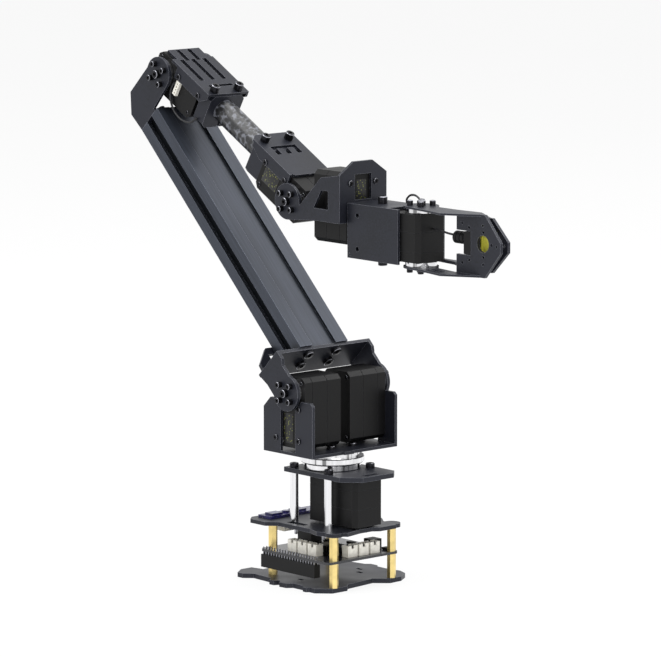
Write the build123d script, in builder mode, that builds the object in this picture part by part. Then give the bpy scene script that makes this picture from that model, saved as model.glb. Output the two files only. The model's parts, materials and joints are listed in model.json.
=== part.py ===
from build123d import *
from math import cos, radians, sin, tan
import os

# Desktop robot arm: a base stack of plates, a turning turret, an upper arm made of aluminium
# profile, a carbon tube forearm, a wrist that pitches and rolls, and a two jaw gripper.
# Millimetres, +X is the way the arm reaches, +Y is its left, +Z is up.
# The origin is on the yaw axis, in the underside of the base plate.

# Running gap between bodies, running fit of shafts, and play round a fastener
gap = 0.3
shaft_play = 0.05
hole_play = 0.1

# The servo that drives every joint
servo_length = 45.2
servo_width = 24.7
servo_case = 30.0
servo_shaft_inset = 10.0
servo_corner = 2.8
servo_seam_depth = 0.3
servo_seam_width = 0.4
servo_seam_high = 8.4
servo_seam_low = -3.9
spline_radius = 2.9
spline_length = 2.2

# Round metal horn on each servo face
horn_radius = 9.9
horn_thickness = 3.0
horn_square = 9.9

# Screws. The small ones are shown by their heads, which have eight flats
small_screw_radius = 1.0
small_head_radius = 1.9
small_head_height = 1.6
centre_head_radius = 2.7
head_flats = 8
cap_screw_radius = 1.5
cap_head_radius = 2.9
cap_head_height = 4.6
cap_socket_flats = 2.5
big_head_radius = 3.5
big_head_height = 2.2

# Base plate
base_thickness = 3.0

# Driver board on its brass pillars
board_length = 65.0
board_width = 60.5
board_thickness = 1.6
board_corner = 2.0
pillar_edge = 3.5
pillar_span_y = 49.0
pillar_flats = 5.0
lower_pillar_height = 15.7
upper_pillar_height = 15.5
mid_thickness = 2.6
mid_ring_radius = 5.6
header_length = 50.8
header_width = 4.9
header_height = 8.2
header_rise = 2.0
header_pitch = 2.54
plug_length = 8.0
plug_width = 5.8
plug_height = 7.4
plug_wall = 0.8
plug_floor = 2.0
plug_notch = 2.0
plug_pitch = 9.5
cooler_size = 13.0
cooler_base = 1.6
cooler_fins = 6
cooler_fin = 0.9
cooler_fin_height = 4.0
switch_board_width = 12.0
switch_board_length = 44.0
power_plug_length = 9.0
power_plug_width = 8.0
power_plug_height = 5.6

# Posts, yaw servo and top plate
post_x = 16.4
post_y = 17.6
post_radius = 2.9
post_height = 31.6
nut_flats = 6.0
nut_height = 2.6
top_thickness = 3.0

# Yaw bearing stack
base_ring_radius = 18.2
base_ring_height = 4.0
turn_hub_radius = 10.0
turn_ring_radius = 20.5
turn_ring_height = 4.0
turn_cap_radius = 17.4
turn_cap_height = 3.7

# Turret bracket and the two shoulder servos
turret_sheet = 2.0
turret_front = 21.6
turret_back = 24.6
turret_wall_height = 35.0
turret_corner = 1.8
turret_back_corner = 6.5
turret_slot = 14.0
turret_slot_x = -1.5
shoulder_height = 39.7
shoulder_servo_inner = 4.0

# Upper arm
lean_angle = 135.0
upper_length = 236.8
elbow_offset = 30.0
yoke_sheet = 2.2
yoke_arm_radius = 11.4
yoke_web = 22.0
yoke_front = 12.4
yoke_flange = 42.0
profile_width = 40.0
profile_depth = 22.0
profile_centre = 2.6
profile_channel_width = 20.0
profile_channel = 1.8
profile_slot = 6.6
profile_slot_lip = 1.8
profile_slot_inner = 10.6
profile_slot_depth = 4.6
profile_core_width = 17.0
profile_core_depth = 15.0
profile_bore_y = 11.7
profile_bore_v = 5.4
profile_bore_radius = 2.1
elbow_sheet = 2.0
elbow_arm_radius = 11.2
elbow_web_drop = 14.8
elbow_corner_reach = 10.2
elbow_tail = 16.0
elbow_tail_half = 17.0
elbow_horn_turn = -22.5

# Forearm
forearm_angle = -29.5
forearm_length = 144.5
cover_sheet = 1.6
cover_half_width = 17.0
cover_back = 4.7
cover_front = 46.0
cover_flange = 9.0
cover_tail_half_width = 13.0
cover_tail = 5.8
clamp_half_width = 14.0
clamp_play = 0.05
tube_radius = 7.9
tube_bore = 6.7
tube_rise = 1.8
rear_clamp_start = 37.0
rear_clamp_length = 9.8
rear_clamp_bottom = 11.0
front_clamp_back = 49.0
front_clamp_length = 13.2
front_clamp_bottom = 11.4
clamp_screw_y = 10.0
wrist_cover_back = 52.5
wrist_cover_ahead = 7.5
wrist_flange = 8.0
wrist_flange_back = 8.2
flange_screw_drop = 6.5

# Leads and their plug
lead_radius = 0.7
lead_flats = 6
lead_play = 0.35
lead_plug_length = 3.4
lead_plug_width = 10.0
lead_plug_height = 2.2

# Wrist
roll_drop = 13.8
roll_servo_back = 17.5
wrist_sheet = 1.8
wrist_arm_radius = 11.5

# Hand and gripper
hand_sheet = 1.6
hand_reach = 46.2
hand_half_height = 17.1
hand_chamfer = 5.0
gripper_reach = 52.0
jaw_sheet = 1.3
jaw_plate = 2.0
jaw_gap = 4.4
jaw_back = 36.0
jaw_shoulder = 60.8
jaw_tip = 74.4
jaw_tip_half = 3.2
jaw_wing_x = 35.4
jaw_wing_y = 17.7
jaw_round = 11.0
lamp_radius = 3.9
lamp_start = 32.0
lamp_barrel = 10.0
lamp_rise = 3.0
lamp_block = 6.0
lamp_block_height = 13.6
lamp_block_rise = 0.8
lamp_play = 0.6
jaw_window = lamp_start + lamp_barrel + lamp_block + lamp_play - jaw_back

# Levels of the stack, from the ground up
pillar_x = board_length / 2 - pillar_edge
pillar_y = pillar_span_y / 2
board_left = pillar_y + pillar_edge
board_right = board_left - board_width
board_level = base_thickness + lower_pillar_height
board_top = board_level + board_thickness
mid_level = board_top + upper_pillar_height
mid_top = mid_level + mid_thickness
top_level = mid_top + post_height
ring_level = top_level + top_thickness
turn_level = ring_level + base_ring_height + gap
cap_level = turn_level + turn_ring_height
turret_level = cap_level + turn_cap_height
shoulder_level = turret_level + shoulder_height

# Servo extents from its shaft
servo_half = servo_width / 2
servo_middle = servo_length / 2 - servo_shaft_inset

# Shoulder widths
shoulder_servo_outer = shoulder_servo_inner + servo_case
yoke_inner = shoulder_servo_outer + horn_thickness
yoke_outer = yoke_inner + yoke_sheet

# Elbow and wrist widths
joint_inner = servo_case / 2 + horn_thickness
joint_outer = joint_inner + elbow_sheet
wrist_outer = joint_inner + wrist_sheet

# Directions along the upper arm and the forearm, and across them
along_arm = Vector(cos(radians(lean_angle)), 0, sin(radians(lean_angle)))
across_arm = Vector(sin(radians(lean_angle)), 0, -cos(radians(lean_angle)))
along_forearm = Vector(cos(radians(forearm_angle)), 0, sin(radians(forearm_angle)))
across_forearm = Vector(-sin(radians(forearm_angle)), 0, cos(radians(forearm_angle)))
left = Vector(0, 1, 0)
shoulder = Vector(0, 0, shoulder_level)
elbow = shoulder + along_arm * upper_length + across_arm * elbow_offset
wrist = elbow + along_forearm * forearm_length

# Roll axis, hand and jaw places
roll_level = wrist.Z - roll_drop
roll_servo_face = wrist.X + roll_servo_back + servo_case
hand_back = roll_servo_face + horn_thickness
jaw_x = hand_back + gripper_reach
jaw_flange = servo_case / 2 + horn_thickness


# Sketch planes
def arm_side(y):
    return Plane(origin=shoulder + left * y, x_dir=along_arm, z_dir=left)


def arm_face(v):
    return Plane(origin=shoulder + across_arm * v, x_dir=left, z_dir=across_arm)


def arm_section(u):
    return Plane(origin=shoulder + along_arm * u, x_dir=left, z_dir=-along_arm)


def forearm_side(y):
    return Plane(origin=elbow + left * y, x_dir=along_forearm, z_dir=-left)


def forearm_face(q):
    return Plane(origin=elbow + across_forearm * q, x_dir=along_forearm, z_dir=across_forearm)


def forearm_section(p):
    return Plane(origin=elbow + along_forearm * p, x_dir=left, z_dir=along_forearm)


def wrist_side(y):
    return Plane(origin=wrist + left * y, x_dir=(1, 0, 0), z_dir=-left)


def hand_side(y):
    return Plane(origin=(0, y, roll_level), x_dir=(1, 0, 0), z_dir=-left)


def front(x, z):
    return Plane(origin=(x, 0, z), x_dir=(0, 1, 0), z_dir=(1, 0, 0))


def level(z):
    return Plane.XY.offset(z)


def keep(piece, name):
    piece.part.label = name
    export_step(piece.part, f"parts/{name}.step")


# Repeated pieces
def servo(shaft, both_ends=True):
    """A servo whose shaft is the plane's normal and whose long end lies along its x."""
    layers = (
        (-servo_case / 2, servo_seam_low, 0),
        (servo_seam_low, servo_seam_low + servo_seam_width, servo_seam_depth),
        (servo_seam_low + servo_seam_width, servo_seam_high, 0),
        (servo_seam_high, servo_seam_high + servo_seam_width, servo_seam_depth),
        (servo_seam_high + servo_seam_width, servo_case / 2, 0),
    )
    with BuildPart() as body:
        for bottom, top, inset in layers:
            with BuildSketch(shaft.offset(bottom)) as case:
                with Locations((servo_middle, 0)):
                    Rectangle(servo_length - 2 * inset, servo_width - 2 * inset)
                chamfer(case.vertices(), servo_corner)
            extrude(amount=top - bottom)
        for side in (-1, 1) if both_ends else (1,):
            with BuildSketch(shaft.offset(side * servo_case / 2)):
                Circle(spline_radius)
            extrude(amount=side * spline_length)
    return body


def horns(shaft, first=-1, face=servo_case / 2):
    """Round horns over a servo's faces, each with a bore for the splined shaft."""
    with BuildPart() as pair:
        for side in range(first, 2, 2):
            with BuildSketch(shaft.offset(side * (face + gap))):
                Circle(horn_radius)
                Circle(spline_radius + shaft_play, mode=Mode.SUBTRACT)
            extrude(amount=side * (horn_thickness - gap))
    return pair


def screw_heads(seat, places, radius, height):
    """Heads of small screws on a plane."""
    with BuildPart() as heads:
        with BuildSketch(seat):
            with Locations(*places):
                RegularPolygon(radius, head_flats)
        extrude(amount=height)
    return heads


def horn_screws(shaft, seat):
    """Four small screws and a centre screw over each horn, their heads on the bracket."""
    with BuildPart() as heads:
        for side in (-1, 1):
            with BuildSketch(shaft.offset(side * seat)):
                with GridLocations(horn_square, horn_square, 2, 2):
                    RegularPolygon(small_head_radius, head_flats)
                RegularPolygon(centre_head_radius, head_flats)
            extrude(amount=side * small_head_height)
    return heads


def cap_screws(seat, places, height=cap_head_height):
    """Heads of cap screws on a plane, each with a hexagon socket."""
    with BuildPart() as screws:
        with BuildSketch(seat):
            with Locations(*places):
                Circle(cap_head_radius)
        extrude(amount=height)
        with BuildSketch(seat.offset(height)):
            with Locations(*places):
                RegularPolygon(cap_socket_flats / 2, 6, major_radius=False)
        extrude(amount=-height / 2, mode=Mode.SUBTRACT)
    return screws


def lead(points):
    """A lead through points, its arcs as large as its runs allow."""
    radii = []
    for before, corner, after in zip(points, points[1:], points[2:]):
        arriving, leaving = corner - before, after - corner
        half_turn = radians(arriving.get_angle(leaving)) / 2
        radii.append(0.45 * min(arriving.length, leaving.length) / tan(half_turn))
    print("lead radii", [round(radius, 1) for radius in radii])
    with BuildPart() as tube:
        with BuildLine() as route:
            FilletPolyline(*points, radius=radii)
        with BuildSketch(Plane(origin=points[0], z_dir=points[1] - points[0])):
            RegularPolygon(lead_radius, lead_flats)
        sweep(path=route.line)
    return tube


os.makedirs("parts", exist_ok=True)

# Base plate, with lobes and notches along its edge
with BuildPart() as base_plate:
    with BuildSketch() as outline:
        Polygon(
            (31, -27.5), (31, -15), (27, -11), (24, 13), (31.5, 21), (31, 31), (25, 40), (17, 43),
            (10, 41), (-2, 41), (-5, 43.5), (-11, 43.5), (-14, 40.5), (-34, 37), (-38, 32), (-44, 38),
            (-49, 38), (-54, 30), (-54, 22), (-46, 22), (-45, -19), (-54, -21), (-54, -30), (-48, -38),
            (-43, -38), (-38, -33), (-20, -34), (-17, -38.2), (-13, -38), (-11.5, -35), (-9.5, -35),
            (-7, -38.6), (-1, -38), (1.5, -34.5), (11, -34.5), (14, -37.3), (17, -37), (18, -35.5), (23, -35.5),
            align=None,
        )
        with Locations((-4, -22.7), (-4, 27), (4, 20)):
            Rectangle(5, 2.6, mode=Mode.SUBTRACT)
    extrude(amount=base_thickness)
keep(base_plate, "base_plate")


# Brass hexagon pillars under and over the driver board
def pillars(bottom, height):
    with BuildPart() as group:
        with BuildSketch(level(bottom)):
            with GridLocations(2 * pillar_x, 2 * pillar_y, 2, 2):
                RegularPolygon(pillar_flats / 2, 6, major_radius=False)
        extrude(amount=height)
    return group


lower_standoffs = pillars(base_thickness, lower_pillar_height)
keep(lower_standoffs, "lower_standoffs")
upper_standoffs = pillars(board_top, upper_pillar_height)
keep(upper_standoffs, "upper_standoffs")

# Driver board
with BuildPart() as driver_board:
    with BuildSketch(level(board_level)) as board:
        with Locations((0, (board_left + board_right) / 2)):
            Rectangle(board_length, board_width)
        chamfer(board.vertices(), board_corner)
    extrude(amount=board_thickness)
keep(driver_board, "driver_board")

# Long header socket under the board's front edge, its pins in two grooves
header_centre = ((header_length - board_length) / 2 + 1, board_right + header_width / 2)
with BuildPart() as header_socket:
    with BuildSketch(level(board_level)):
        with Locations(header_centre):
            Rectangle(header_length - 2, header_width - 2)
    extrude(amount=-header_rise)
    with BuildSketch(level(board_level - header_rise)):
        with Locations(header_centre):
            Rectangle(header_length, header_width)
    extrude(amount=-header_height)
    with BuildSketch(level(board_level - header_rise - header_height)):
        with Locations(header_centre):
            with GridLocations(1, header_pitch, 1, 2):
                Rectangle(header_length - header_pitch, 1)
    extrude(amount=header_pitch, mode=Mode.SUBTRACT)
keep(header_socket, "header_socket")

# White plug sockets along two edges of the board, open on top and notched
front_sockets = [(n * plug_pitch - 11, board_right + 11) for n in range(3)]
right_sockets = [(board_length / 2 - 7, n * plug_pitch - 8) for n in range(3)]
with BuildPart() as board_connectors:
    for places, turn in ((front_sockets, 0), (right_sockets, 90)):
        with BuildSketch(level(board_top)):
            with Locations(*places):
                Rectangle(plug_length, plug_width, rotation=turn)
        extrude(amount=plug_height)
        with BuildSketch(level(board_top + plug_height)):
            with Locations(*places):
                Rectangle(plug_length - 2 * plug_wall, plug_width - 2 * plug_wall, rotation=turn)
        extrude(amount=plug_floor - plug_height, mode=Mode.SUBTRACT)
        with BuildSketch(level(board_top + plug_height)):
            with Locations(*places):
                Rectangle(plug_notch, plug_width + 2, rotation=turn)
        extrude(amount=-plug_notch, mode=Mode.SUBTRACT)
keep(board_connectors, "board_connectors")

# Finned cooler, main chip, power jack and switch on the board
cooler_place = (board_length / 2 - 17, -3 - cooler_size / 2)
with BuildPart() as board_modules:
    with BuildSketch(level(board_top)):
        with Locations(cooler_place):
            Rectangle(cooler_size, cooler_size)
    extrude(amount=cooler_base)
    with BuildSketch(level(board_top + cooler_base)):
        with Locations(cooler_place):
            with GridLocations(cooler_size / cooler_fins, 1, cooler_fins, 1):
                Rectangle(cooler_fin, cooler_size)
    extrude(amount=cooler_fin_height)
    blocks = (
        ((-8, 2), (12, 12), cooler_base), ((6.5 - board_length / 2, 4), (13, 9), 9),
        ((14, board_left - 6), (8, 8), 6),
    )
    for place, size, height in blocks:
        with BuildSketch(level(board_top)):
            with Locations(place):
                Rectangle(*size)
        extrude(amount=height)
keep(board_modules, "board_modules")

# Middle plate: rings on the pillars, a bed for the yaw servo and a wing at the back
with BuildPart() as mid_plate:
    with BuildSketch(level(mid_level)) as bed:
        Polygon(
            (36, -19), (33, -6), (33, 4), (36, 8), (36, 22), (22, 24), (14, 30), (-20, 30),
            (-26, 34), (-40, 34), (-44.5, 29), (-44.5, -29), (-40, -34), (-26, -34), (-20, -28),
            (10, -28), (20, -31), (25, -29),
            align=None,
        )
        with GridLocations(2 * pillar_x, 2 * pillar_y, 2, 2):
            Circle(mid_ring_radius)
        with Locations((-8, 22), (-8, -22)):
            Rectangle(16, 5, mode=Mode.SUBTRACT)
    extrude(amount=mid_thickness)
keep(mid_plate, "mid_plate")

# Switch board on the wing of the middle plate, with its rocker, lamp and socket
switch_board_x = -35.5
with BuildPart() as switch_board:
    with BuildSketch(level(mid_top)):
        with Locations((switch_board_x, -4)):
            Rectangle(switch_board_width, switch_board_length)
    extrude(amount=board_thickness)
    with BuildSketch(level(mid_top + board_thickness)):
        with Locations((switch_board_x, -18), (switch_board_x, 2)):
            Rectangle(7, 9)
        with Locations((switch_board_x, -8)):
            RegularPolygon(2.4, head_flats)
    extrude(amount=1.2)
keep(switch_board, "switch_board")

# White power plug under the wing, open below
with BuildPart() as power_connector:
    with BuildSketch(level(mid_level)):
        with Locations((-30, -14)):
            Rectangle(power_plug_length, power_plug_width)
    extrude(amount=-power_plug_height)
    with BuildSketch(level(mid_level - power_plug_height)):
        with Locations((-30, -14)):
            Rectangle(power_plug_length - 2 * plug_wall, power_plug_width - 2 * plug_wall)
    extrude(amount=power_plug_height - plug_floor, mode=Mode.SUBTRACT)
keep(power_connector, "power_connector")

# Posts that carry the top plate, with nuts under the middle plate
with BuildPart() as support_posts:
    with BuildSketch(level(mid_top)):
        with GridLocations(2 * post_x, 2 * post_y, 2, 2):
            Circle(post_radius)
    extrude(amount=post_height)
keep(support_posts, "support_posts")

with BuildPart() as post_nuts:
    with BuildSketch(level(mid_level)):
        with GridLocations(2 * post_x, 2 * post_y, 2, 2):
            RegularPolygon(nut_flats / 2, 6, major_radius=False)
    extrude(amount=-nut_height)
keep(post_nuts, "post_nuts")

# Top plate over the yaw servo
with BuildPart() as top_plate:
    with BuildSketch(level(top_level)):
        Polygon(
            (-22, -21.3), (30.5, -21.3), (41, -10.8), (41, 15.3), (35, 21.3), (-22, 21.3),
            align=None,
        )
        Circle(turn_hub_radius + gap, mode=Mode.SUBTRACT)
        with Locations((36, 0)):
            Rectangle(3, 12, mode=Mode.SUBTRACT)
    extrude(amount=top_thickness)
keep(top_plate, "top_plate")

post_places = [(sx * post_x, sy * post_y) for sx in (-1, 1) for sy in (-1, 1)]
post_screws = cap_screws(level(ring_level), post_places, top_thickness)
keep(post_screws, "post_screws")

yaw_shaft = Plane(origin=(0, 0, top_level - servo_case / 2), x_dir=(1, 0, 0), z_dir=(0, 0, 1))
yaw_servo = servo(yaw_shaft, both_ends=False)
keep(yaw_servo, "yaw_servo")

# Fixed and turning halves of the yaw bearing
with BuildPart() as bearing_base_ring:
    with BuildSketch(level(ring_level)):
        Circle(base_ring_radius)
        Circle(turn_hub_radius + shaft_play, mode=Mode.SUBTRACT)
    extrude(amount=base_ring_height)
    rims = bearing_base_ring.edges().filter_by(GeomType.CIRCLE).group_by(SortBy.RADIUS)[-1]
    chamfer(rims, 0.5)
keep(bearing_base_ring, "bearing_base_ring")

with BuildPart() as bearing_turn_ring:
    with BuildSketch(level(ring_level)):
        Circle(turn_hub_radius)
    extrude(amount=turret_level - ring_level)
    with BuildSketch(level(turn_level)):
        Circle(turn_ring_radius)
    extrude(amount=turn_ring_height)
    rims = bearing_turn_ring.edges().filter_by(GeomType.CIRCLE).group_by(SortBy.RADIUS)[-1]
    chamfer(rims, 0.5)
    with BuildSketch(level(cap_level)):
        Circle(turn_cap_radius)
    extrude(amount=turn_cap_height)
keep(bearing_turn_ring, "bearing_turn_ring")

yaw_horn = horns(yaw_shaft, first=1)
keep(yaw_horn, "yaw_horn")

# Turret bracket: a folded channel whose walls are slotted for the shoulder horns
turret_inner = shoulder_servo_outer
turret_outer = turret_inner + turret_sheet
wall_top = turret_level + turret_wall_height
wall_screw_places = [(x, turret_level + z) for x, z in ((-13, 9.8), (8.6, 9.8), (8.6, 29.8))]
with BuildPart() as turret_bracket:
    with BuildSketch(level(turret_level)):
        with Locations(((turret_front - turret_back) / 2, 0)):
            Rectangle(turret_front + turret_back, 2 * turret_outer)
        with Locations((turret_front, -6)):
            Rectangle(3, 8)
    extrude(amount=turret_sheet)
    for face_y in (turret_outer, -turret_inner):
        with BuildSketch(Plane(origin=(0, face_y, 0), x_dir=(1, 0, 0), z_dir=-left)):
            Polygon(
                (-turret_back, turret_level), (turret_front, turret_level),
                (turret_front, wall_top - turret_corner), (turret_front - turret_corner, wall_top),
                (turret_back_corner - turret_back, wall_top), (-turret_back, wall_top - turret_back_corner),
                align=None,
            )
            with Locations((turret_slot_x, turret_level + turret_sheet + turret_wall_height / 2)):
                Rectangle(turret_slot, turret_wall_height, mode=Mode.SUBTRACT)
            with Locations((0, shoulder_level)):
                Circle(horn_radius + 1.7, mode=Mode.SUBTRACT)
        extrude(amount=turret_sheet)
keep(turret_bracket, "turret_bracket")

with BuildPart() as turret_screws:
    for side in (-1, 1):
        with BuildSketch(Plane(origin=(0, side * turret_outer, 0), x_dir=(1, 0, 0), z_dir=-left)):
            with Locations(*wall_screw_places):
                RegularPolygon(small_head_radius, head_flats)
        extrude(amount=-side * (yoke_inner - turret_outer - 2 * hole_play))
    with BuildSketch(level(turret_level + turret_sheet)):
        with GridLocations(18, 18, 2, 2):
            RegularPolygon(cap_head_radius, head_flats)
    extrude(amount=2 * small_screw_radius)
keep(turret_screws, "turret_screws")

# Shoulder servos, back to back, with their long ends down
shoulder_middle = shoulder_servo_inner + servo_case / 2
shoulder_shafts = [
    Plane(origin=shoulder + left * (side * shoulder_middle), x_dir=(0, 0, -1), z_dir=left * side)
    for side in (-1, 1)
]
right_shoulder_servo = servo(shoulder_shafts[0], both_ends=False)
keep(right_shoulder_servo, "right_shoulder_servo")
left_shoulder_servo = servo(shoulder_shafts[1], both_ends=False)
keep(left_shoulder_servo, "left_shoulder_servo")

# Shoulder yoke: two arms, a web across them and a tall flange behind the profile
flange_back = yoke_arm_radius + 0.6
with BuildPart() as shoulder_yoke:
    for y in (-yoke_outer, yoke_inner):
        with BuildSketch(arm_side(y)):
            Circle(yoke_arm_radius)
            with Locations((yoke_web / 2, 0)):
                Rectangle(yoke_web, 2 * yoke_arm_radius - 3)
            Polygon(
                (yoke_web - 7, yoke_front - 2), (yoke_web - 4, yoke_front), (yoke_web + yoke_sheet, yoke_front),
                (yoke_web + yoke_sheet, -flange_back), (yoke_web - 7, -flange_back + 2),
                align=None,
            )
        extrude(amount=yoke_sheet)
    with BuildSketch(arm_section(yoke_web)):
        with Locations((0, (yoke_front - flange_back) / 2)):
            Rectangle(2 * yoke_outer, yoke_front + flange_back)
    extrude(amount=-yoke_sheet)
    with BuildSketch(arm_face(-flange_back)):
        Polygon(
            (-36, yoke_web), (-35, yoke_web + 9), (-24, yoke_flange), (24, yoke_flange),
            (35, yoke_web + 9), (36, yoke_web),
            align=None,
        )
        with GridLocations(44, 1, 2, 1):
            with Locations((0, yoke_web + 13)):
                Rectangle(5, 4, mode=Mode.SUBTRACT)
    extrude(amount=yoke_sheet)
keep(shoulder_yoke, "shoulder_yoke")

shoulder_axis = Plane(origin=shoulder, x_dir=along_arm, z_dir=left)
shoulder_horns = horns(shoulder_axis, face=shoulder_servo_outer)
keep(shoulder_horns, "shoulder_horns")
screw_axis = Plane(origin=shoulder, x_dir=(1, 0, 0), z_dir=left)
shoulder_horn_screws = horn_screws(screw_axis, yoke_outer)
keep(shoulder_horn_screws, "shoulder_horn_screws")

# Aluminium profile of the upper arm
elbow_web = upper_length - elbow_web_drop
profile_start = yoke_web + yoke_sheet
profile_front = profile_centre + profile_depth / 2
profile_back = profile_centre - profile_depth / 2
with BuildPart() as arm_profile:
    with BuildSketch(arm_section(profile_start)):
        with Locations((0, profile_centre)):
            Rectangle(profile_width, profile_depth)
            Rectangle(profile_core_width, profile_core_depth, mode=Mode.SUBTRACT)
            with GridLocations(2 * profile_bore_y, 2 * profile_bore_v, 2, 2):
                Circle(profile_bore_radius, mode=Mode.SUBTRACT)
            with GridLocations(profile_width, 1, 2, 1):
                Rectangle(2 * profile_slot_lip, profile_slot, mode=Mode.SUBTRACT)
        for side in (-1, 1):
            with Locations((side * (profile_width - profile_slot_depth - profile_slot_lip) / 2, profile_centre)):
                Rectangle(profile_slot_depth - profile_slot_lip, profile_slot_inner, mode=Mode.SUBTRACT)
        with Locations((0, profile_front)):
            Rectangle(profile_channel_width, 2 * profile_channel, mode=Mode.SUBTRACT)
    extrude(amount=profile_start - elbow_web)
keep(arm_profile, "arm_profile")

# Screws through the yoke's web into the profile
bore_places = [
    (sy * profile_bore_y, profile_centre + sv * profile_bore_v) for sy in (-1, 1) for sv in (-1, 1)
]
yoke_screws = screw_heads(arm_section(yoke_web), bore_places, big_head_radius, big_head_height)
keep(yoke_screws, "yoke_screws")

# Elbow bracket: a web on the profile's end, two arms to the elbow axis and a tail behind
elbow_top = upper_length + elbow_corner_reach
with BuildPart() as elbow_bracket:
    for y in (-joint_outer, joint_inner):
        with BuildSketch(arm_side(y)):
            Polygon(
                (elbow_web, profile_back), (elbow_web + 14, profile_back - 1), (elbow_top, 0.5),
                (elbow_top, elbow_offset), (upper_length - elbow_arm_radius, elbow_offset),
                (elbow_web + elbow_sheet, profile_front - 3), (elbow_web, profile_front - 5),
                align=None,
            )
            with Locations((upper_length, elbow_offset)):
                Circle(elbow_arm_radius)
        extrude(amount=elbow_sheet)
    with BuildSketch(arm_section(elbow_web)):
        with Locations((0, (profile_front - 3 + profile_back) / 2)):
            Rectangle(2 * joint_outer, profile_front - 3 - profile_back)
        with Locations((0, profile_centre)):
            Circle(4, mode=Mode.SUBTRACT)
    extrude(amount=-elbow_sheet)
    with BuildSketch(arm_face(profile_back)):
        with Locations((0, elbow_web + (elbow_sheet - elbow_tail) / 2)):
            tail = Rectangle(2 * elbow_tail_half, elbow_sheet + elbow_tail)
        chamfer(tail.vertices().group_by(Axis.Y)[0], 4)
    extrude(amount=-elbow_sheet)
keep(elbow_bracket, "elbow_bracket")

elbow_screws = screw_heads(
    Plane(origin=shoulder + along_arm * (elbow_web + elbow_sheet), x_dir=-left, z_dir=along_arm),
    bore_places, small_head_radius + 1, small_head_height,
)
keep(elbow_screws, "elbow_screws")

# Elbow servo and its horns
horn_direction = along_arm * cos(radians(elbow_horn_turn)) + across_arm * sin(radians(elbow_horn_turn))
elbow_axis = Plane(origin=elbow, x_dir=horn_direction, z_dir=left)
elbow_horns = horns(elbow_axis)
keep(elbow_horns, "elbow_horns")
elbow_horn_screws = horn_screws(elbow_axis, joint_outer)
keep(elbow_horn_screws, "elbow_horn_screws")
elbow_servo = servo(forearm_side(0))
keep(elbow_servo, "elbow_servo")

# Elbow cover: a sheet over the servo with side flanges, vent slots and a folded tail
cover_level = servo_half + gap
cover_top = cover_level + cover_sheet
flange_start = horn_radius + 1.6
flange_screw_q = cover_top - flange_screw_drop
rear_clamp_screw_p = rear_clamp_start + 5.4
with BuildPart() as elbow_cover:
    with BuildSketch(forearm_face(cover_level)):
        with Locations(((cover_back + cover_front) / 2, 0)):
            Rectangle(cover_front - cover_back, 2 * cover_half_width)
        with Locations((18, -10.3), (18, -1), (18, 8.3)):
            Rectangle(24, 3.3, mode=Mode.SUBTRACT)
        with Locations((36.6, 0)):
            Rectangle(2, 20, mode=Mode.SUBTRACT)
    extrude(amount=cover_sheet)
    for y in (cover_half_width, cover_sheet - cover_half_width):
        with BuildSketch(forearm_side(y)):
            Polygon(
                (flange_start, cover_top), (cover_front, cover_top), (cover_front, cover_top - cover_flange + 5),
                (cover_front - 6, cover_top - cover_flange), (flange_start, cover_top - cover_flange),
                align=None,
            )
        extrude(amount=cover_sheet)
    with BuildSketch(forearm_face(cover_level)):
        with Locations(((cover_back - cover_tail) / 2, 0)):
            Rectangle(cover_back + cover_tail, 2 * cover_tail_half_width)
        with Locations((1.2, -5.6), (1.2, 3.6)):
            Rectangle(12.4, 3.3, mode=Mode.SUBTRACT)
    extrude(amount=cover_sheet)
    with BuildSketch(forearm_face(cover_level)):
        with Locations((5.9, -5.6), (5.9, 3.6)):
            Rectangle(3, 3.3)
    extrude(amount=cover_sheet, mode=Mode.SUBTRACT)
keep(elbow_cover, "elbow_cover")

elbow_cover_screws = cap_screws(
    forearm_face(cover_top),
    ((rear_clamp_screw_p, -clamp_screw_y), (rear_clamp_screw_p, clamp_screw_y)),
)
keep(elbow_cover_screws, "elbow_cover_screws")


# Split clamp blocks that hold the carbon tube
def tube_clamp(start, length, bottom):
    top = cover_level
    with BuildPart() as block:
        with BuildSketch(forearm_section(start)) as face:
            with Locations((0, (top - bottom) / 2)):
                Rectangle(2 * clamp_half_width, top + bottom)
            chamfer(face.vertices().group_by(Axis.Z)[0], 3)
            with Locations((0, tube_rise)):
                Circle(tube_radius + clamp_play, mode=Mode.SUBTRACT)
            with Locations((0, -bottom / 2)):
                Rectangle(1.6, bottom, mode=Mode.SUBTRACT)
        extrude(amount=length)
    return block


rear_tube_clamp = tube_clamp(rear_clamp_start, rear_clamp_length, rear_clamp_bottom)
keep(rear_tube_clamp, "rear_tube_clamp")
front_clamp_start = forearm_length - front_clamp_back
front_tube_clamp = tube_clamp(front_clamp_start, front_clamp_length, front_clamp_bottom)
keep(front_tube_clamp, "front_tube_clamp")

tube_start = rear_clamp_start + 1.5
tube_end = front_clamp_start + front_clamp_length - 1.5
with BuildPart() as carbon_tube:
    with BuildSketch(forearm_section(tube_start)):
        with Locations((0, tube_rise)):
            Circle(tube_radius)
            Circle(tube_bore, mode=Mode.SUBTRACT)
    extrude(amount=tube_end - tube_start)
keep(carbon_tube, "carbon_tube")

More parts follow.
